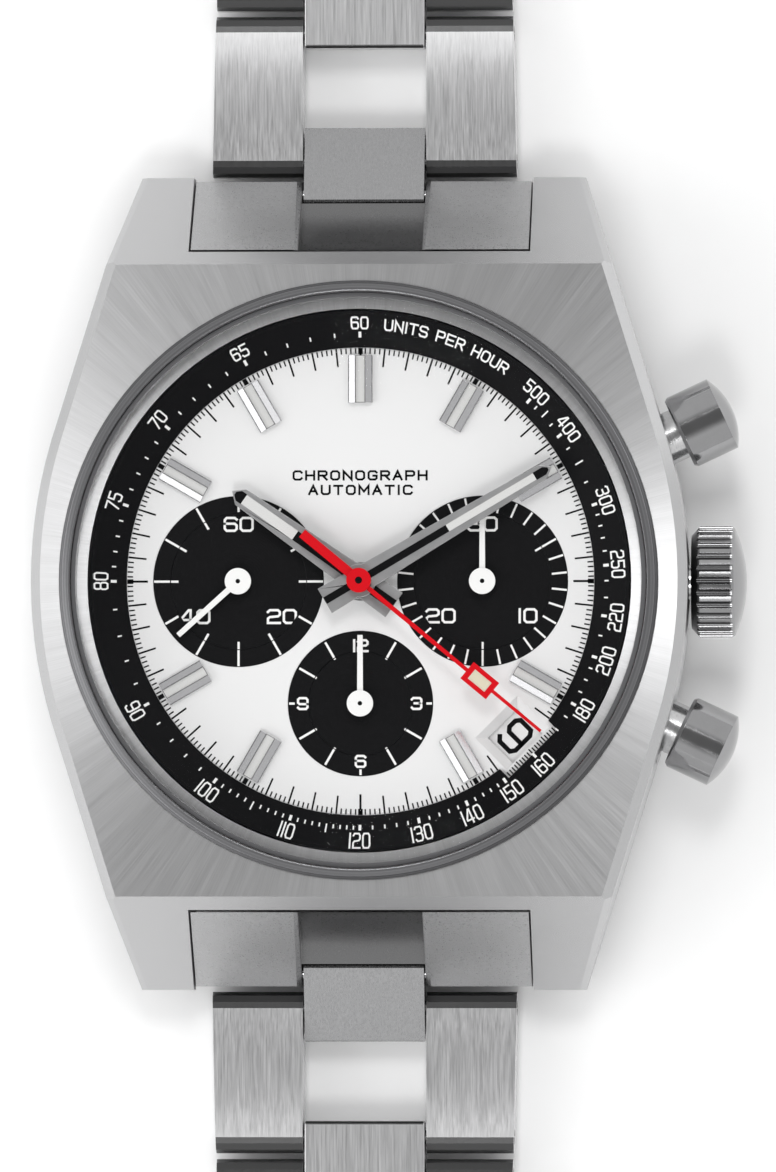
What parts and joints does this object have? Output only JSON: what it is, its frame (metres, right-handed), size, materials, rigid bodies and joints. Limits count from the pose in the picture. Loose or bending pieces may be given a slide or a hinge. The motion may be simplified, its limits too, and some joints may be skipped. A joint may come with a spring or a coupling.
{
  "type": "chronograph wristwatch",
  "caption": "Steel automatic chronograph wristwatch laid flat: tonneau middle, white dial with black small dials, open-ladder link bracelet, folding clasp.",
  "frame": {"origin": "centre of the case back's flat outer face, which rests on the surface", "axes": "+Z out of the dial towards the crystal, +Y to 12 o'clock along the bracelet, +X to the winding knob at 3 o'clock"},
  "size_m": [0.0407, 0.1813, 0.0126],
  "materials": {
    "steel_brushed": "brushed",
    "steel_polished": "polished",
    "sapphire": "clear",
    "gasket_white": "satin",
    "flange_black": "satin",
    "dial_white": "satin lacquer",
    "paint_white": "satin",
    "paint_red": "satin",
    "movement_rhodium": "striped and grained",
    "movement_gilt": "satin",
    "screw_blue": "blued and polished"
  },
  "bodies": {
    "case": {"mid_case": "steel_brushed", "bezel_ring": "steel_polished", "crystal": "sapphire", "crystal_gasket": "gasket_white", "tachymeter_flange": "flange_black", "dial": "dial_white", "hour_markers": "steel_polished", "case_back": "steel_brushed", "case_back_crystal": "sapphire", "case_tubes": "steel_polished", "movement_ring": "movement_rhodium", "main_plate": "movement_rhodium", "train_bridge": "movement_rhodium", "balance_cock": "movement_rhodium", "movement_screws": "screw_blue", "end_links": "steel_brushed", "spring_bars": "steel_polished", "rotor_bearing": "movement_rhodium", "start_pusher_spring": "steel_polished", "reset_pusher_spring": "steel_polished"},
    "hour_hand": {"hour_hand": "steel_polished"},
    "minute_hand": {"minute_hand": "steel_polished"},
    "chronograph_hand": {"chronograph_hand": "paint_red"},
    "running_seconds_hand": {"running_seconds_hand": "paint_white"},
    "minute_counter_hand": {"minute_counter_hand": "paint_white"},
    "hour_counter_hand": {"hour_counter_hand": "paint_white"},
    "date_disc": {"date_disc": "paint_white"},
    "rotor": {"rotor": "movement_rhodium"},
    "balance_wheel": {"balance_wheel": "movement_gilt"},
    "escape_wheel": {"escape_wheel": "movement_rhodium"},
    "pallet_fork": {"pallet_fork": "movement_rhodium"},
    "mainspring_barrel": {"mainspring_barrel": "movement_gilt"},
    "column_wheel": {"column_wheel": "movement_rhodium"},
    "crown": {"crown": "steel_polished"},
    "winding_stem": {"winding_stem": "steel_polished"},
    "start_pusher": {"start_pusher": "steel_polished"},
    "reset_pusher": {"reset_pusher": "steel_polished"},
    "clasp_cover": {"clasp_cover": "steel_brushed"},
    "clasp_middle_blade": {"clasp_middle_blade": "steel_brushed"},
    "clasp_inner_blade": {"clasp_inner_blade": "steel_brushed"},
    "upper_centre_link_1": {"upper_centre_link_1": "steel_brushed"},
    "upper_side_links_1": {"upper_side_links_1": "steel_brushed"},
    "upper_centre_link_2": {"upper_centre_link_2": "steel_brushed"},
    "upper_side_links_2": {"upper_side_links_2": "steel_brushed"},
    "upper_centre_link_3": {"upper_centre_link_3": "steel_brushed"},
    "upper_side_links_3": {"upper_side_links_3": "steel_brushed"},
    "upper_centre_link_4": {"upper_centre_link_4": "steel_brushed"},
    "upper_side_links_4": {"upper_side_links_4": "steel_brushed"},
    "upper_centre_link_5": {"upper_centre_link_5": "steel_brushed"},
    "upper_side_links_5": {"upper_side_links_5": "steel_brushed"},
    "lower_centre_link_1": {"lower_centre_link_1": "steel_brushed"},
    "lower_side_links_1": {"lower_side_links_1": "steel_brushed"},
    "lower_centre_link_2": {"lower_centre_link_2": "steel_brushed"},
    "lower_side_links_2": {"lower_side_links_2": "steel_brushed"},
    "lower_centre_link_3": {"lower_centre_link_3": "steel_brushed"},
    "lower_side_links_3": {"lower_side_links_3": "steel_brushed"},
    "lower_centre_link_4": {"lower_centre_link_4": "steel_brushed"},
    "lower_side_links_4": {"lower_side_links_4": "steel_brushed"},
    "lower_centre_link_5": {"lower_centre_link_5": "steel_brushed"},
    "lower_side_links_5": {"lower_side_links_5": "steel_brushed"}
  },
  "joints": [
    {"name": "running_seconds_turn", "type": "hinge", "parent": "case", "child": "running_seconds_hand", "pos_m": [-0.00697, 0, 0.008], "axis": [0, 0, -1], "continuous": true},
    {"name": "minute_turn", "type": "hinge", "parent": "case", "child": "minute_hand", "pos_m": [0, 0, 0.009], "axis": [0, 0, -1], "continuous": true},
    {"name": "hour_turn", "type": "hinge", "parent": "case", "child": "hour_hand", "pos_m": [0, 0, 0.0085], "axis": [0, 0, -1], "continuous": true},
    {"name": "date_turn", "type": "hinge", "parent": "case", "child": "date_disc", "pos_m": [0, 0, 0.0068], "axis": [0, 0, -1], "continuous": true},
    {"name": "escape_turn", "type": "hinge", "parent": "case", "child": "escape_wheel", "pos_m": [-0.0096, 0.0006, 0.0032], "axis": [0, 0, -1], "continuous": true},
    {"name": "barrel_turn", "type": "hinge", "parent": "case", "child": "mainspring_barrel", "pos_m": [0.0049, 0.0047, 0.003], "axis": [0, 0, -1], "continuous": true},
    {"name": "chronograph_turn", "type": "hinge", "parent": "case", "child": "chronograph_hand", "pos_m": [0, 0, 0.0095], "axis": [0, 0, -1], "continuous": true},
    {"name": "minute_counter_turn", "type": "hinge", "parent": "case", "child": "minute_counter_hand", "pos_m": [0.00697, 0, 0.008], "axis": [0, 0, -1], "continuous": true},
    {"name": "hour_counter_turn", "type": "hinge", "parent": "case", "child": "hour_counter_hand", "pos_m": [0, -0.00697, 0.008], "axis": [0, 0, -1], "continuous": true},
    {"name": "rotor_turn", "type": "hinge", "parent": "case", "child": "rotor", "pos_m": [0, 0, 0.0015], "axis": [0, 0, 1], "continuous": true},
    {"name": "balance_swing", "type": "hinge", "parent": "case", "child": "balance_wheel", "pos_m": [-0.0057, 0.0059, 0.003], "axis": [0, 0, 1], "range_deg": [-220, 220], "stiffness_Nm_per_rad": 0.0000003},
    {"name": "pallet_swing", "type": "hinge", "parent": "case", "child": "pallet_fork", "pos_m": [-0.0085, 0.0029, 0.0035], "axis": [0, 0, 1], "range_deg": [-6, 6]},
    {"name": "column_turn", "type": "hinge", "parent": "case", "child": "column_wheel", "pos_m": [0.0082, -0.0046, 0.0031], "axis": [0, 0, -1], "continuous": true},
    {"name": "stem_pull", "type": "slide", "parent": "case", "child": "winding_stem", "axis": [1, 0, 0], "range_m": [0, 0.001]},
    {"name": "crown_turn", "type": "hinge", "parent": "winding_stem", "child": "crown", "pos_m": [0.0205, 0, 0.0052], "axis": [1, 0, 0], "continuous": true},
    {"name": "start_press", "type": "slide", "parent": "case", "child": "start_pusher", "axis": [-0.9056, -0.4242, 0], "range_m": [0, 0.0006], "stiffness_N_per_m": 300, "springref_m": -0.001, "deforming": ["start_pusher_spring"]},
    {"name": "reset_press", "type": "slide", "parent": "case", "child": "reset_pusher", "axis": [-0.9056, 0.4242, 0], "range_m": [0, 0.0006], "stiffness_N_per_m": 300, "springref_m": -0.001, "deforming": ["reset_pusher_spring"]},
    {"name": "clasp_fold", "type": "hinge", "parent": "upper_side_links_5", "child": "clasp_cover", "pos_m": [0, 0.07015, 0.0014], "axis": [-1, 0, 0], "range_deg": [-8, 30]},
    {"name": "middle_blade_open", "type": "hinge", "parent": "clasp_cover", "child": "clasp_middle_blade", "pos_m": [0, 0.10685, 0.00241], "axis": [-1, 0, 0], "range_deg": [-160, 0]},
    {"name": "inner_blade_open", "type": "hinge", "parent": "clasp_middle_blade", "child": "clasp_inner_blade", "pos_m": [0, 0.07355, 0.00257], "axis": [1, 0, 0], "range_deg": [-92, 0]},
    {"name": "upper_centre_link_1_fold", "type": "hinge", "parent": "case", "child": "upper_centre_link_1", "pos_m": [0, 0.0223, 0.0022], "axis": [-1, 0, 0], "range_deg": [-8, 30]},
    {"name": "upper_side_links_1_fold", "type": "hinge", "parent": "upper_centre_link_1", "child": "upper_side_links_1", "pos_m": [0, 0.02435, 0.0014], "axis": [-1, 0, 0], "range_deg": [-8, 25]},
    {"name": "upper_centre_link_2_fold", "type": "hinge", "parent": "upper_side_links_1", "child": "upper_centre_link_2", "pos_m": [0, 0.03175, 0.0014], "axis": [-1, 0, 0], "range_deg": [-8, 8]},
    {"name": "upper_side_links_2_fold", "type": "hinge", "parent": "upper_centre_link_2", "child": "upper_side_links_2", "pos_m": [0, 0.03395, 0.0014], "axis": [-1, 0, 0], "range_deg": [-8, 12]},
    {"name": "upper_centre_link_3_fold", "type": "hinge", "parent": "upper_side_links_2", "child": "upper_centre_link_3", "pos_m": [0, 0.04135, 0.0014], "axis": [-1, 0, 0], "range_deg": [-8, 6]},
    {"name": "upper_side_links_3_fold", "type": "hinge", "parent": "upper_centre_link_3", "child": "upper_side_links_3", "pos_m": [0, 0.04355, 0.0014], "axis": [-1, 0, 0], "range_deg": [-8, 12]},
    {"name": "upper_centre_link_4_fold", "type": "hinge", "parent": "upper_side_links_3", "child": "upper_centre_link_4", "pos_m": [0, 0.05095, 0.0014], "axis": [-1, 0, 0], "range_deg": [-8, 6]},
    {"name": "upper_side_links_4_fold", "type": "hinge", "parent": "upper_centre_link_4", "child": "upper_side_links_4", "pos_m": [0, 0.05315, 0.0014], "axis": [-1, 0, 0], "range_deg": [-8, 12]},
    {"name": "upper_centre_link_5_fold", "type": "hinge", "parent": "upper_side_links_4", "child": "upper_centre_link_5", "pos_m": [0, 0.06055, 0.0014], "axis": [-1, 0, 0], "range_deg": [-8, 14]},
    {"name": "upper_side_links_5_fold", "type": "hinge", "parent": "upper_centre_link_5", "child": "upper_side_links_5", "pos_m": [0, 0.06275, 0.0014], "axis": [-1, 0, 0], "range_deg": [-8, 25]},
    {"name": "lower_centre_link_1_fold", "type": "hinge", "parent": "case", "child": "lower_centre_link_1", "pos_m": [0, -0.0223, 0.0022], "axis": [1, 0, 0], "range_deg": [-8, 30]},
    {"name": "lower_side_links_1_fold", "type": "hinge", "parent": "lower_centre_link_1", "child": "lower_side_links_1", "pos_m": [0, -0.02435, 0.0014], "axis": [1, 0, 0], "range_deg": [-8, 25]},
    {"name": "lower_centre_link_2_fold", "type": "hinge", "parent": "lower_side_links_1", "child": "lower_centre_link_2", "pos_m": [0, -0.03175, 0.0014], "axis": [1, 0, 0], "range_deg": [-8, 8]},
    {"name": "lower_side_links_2_fold", "type": "hinge", "parent": "lower_centre_link_2", "child": "lower_side_links_2", "pos_m": [0, -0.03395, 0.0014], "axis": [1, 0, 0], "range_deg": [-8, 12]},
    {"name": "lower_centre_link_3_fold", "type": "hinge", "parent": "lower_side_links_2", "child": "lower_centre_link_3", "pos_m": [0, -0.04135, 0.0014], "axis": [1, 0, 0], "range_deg": [-8, 6]},
    {"name": "lower_side_links_3_fold", "type": "hinge", "parent": "lower_centre_link_3", "child": "lower_side_links_3", "pos_m": [0, -0.04355, 0.0014], "axis": [1, 0, 0], "range_deg": [-8, 12]},
    {"name": "lower_centre_link_4_fold", "type": "hinge", "parent": "lower_side_links_3", "child": "lower_centre_link_4", "pos_m": [0, -0.05095, 0.0014], "axis": [1, 0, 0], "range_deg": [-8, 6]},
    {"name": "lower_side_links_4_fold", "type": "hinge", "parent": "lower_centre_link_4", "child": "lower_side_links_4", "pos_m": [0, -0.05315, 0.0014], "axis": [1, 0, 0], "range_deg": [-8, 12]},
    {"name": "lower_centre_link_5_fold", "type": "hinge", "parent": "lower_side_links_4", "child": "lower_centre_link_5", "pos_m": [0, -0.06055, 0.0014], "axis": [1, 0, 0], "range_deg": [-8, 14]},
    {"name": "lower_side_links_5_fold", "type": "hinge", "parent": "lower_centre_link_5", "child": "lower_side_links_5", "pos_m": [0, -0.06275, 0.0014], "axis": [1, 0, 0], "range_deg": [-8, 25]}
  ],
  "couplings": [
    {"joint": "minute_turn", "follows": "running_seconds_turn", "ratio": 0.016667},
    {"joint": "hour_turn", "follows": "running_seconds_turn", "ratio": 0.0013889},
    {"joint": "escape_turn", "follows": "running_seconds_turn", "ratio": -12},
    {"joint": "barrel_turn", "follows": "running_seconds_turn", "ratio": -0.0022222},
    {"joint": "minute_counter_turn", "follows": "chronograph_turn", "ratio": 0.033333},
    {"joint": "hour_counter_turn", "follows": "chronograph_turn", "ratio": 0.0013889}
  ]
}
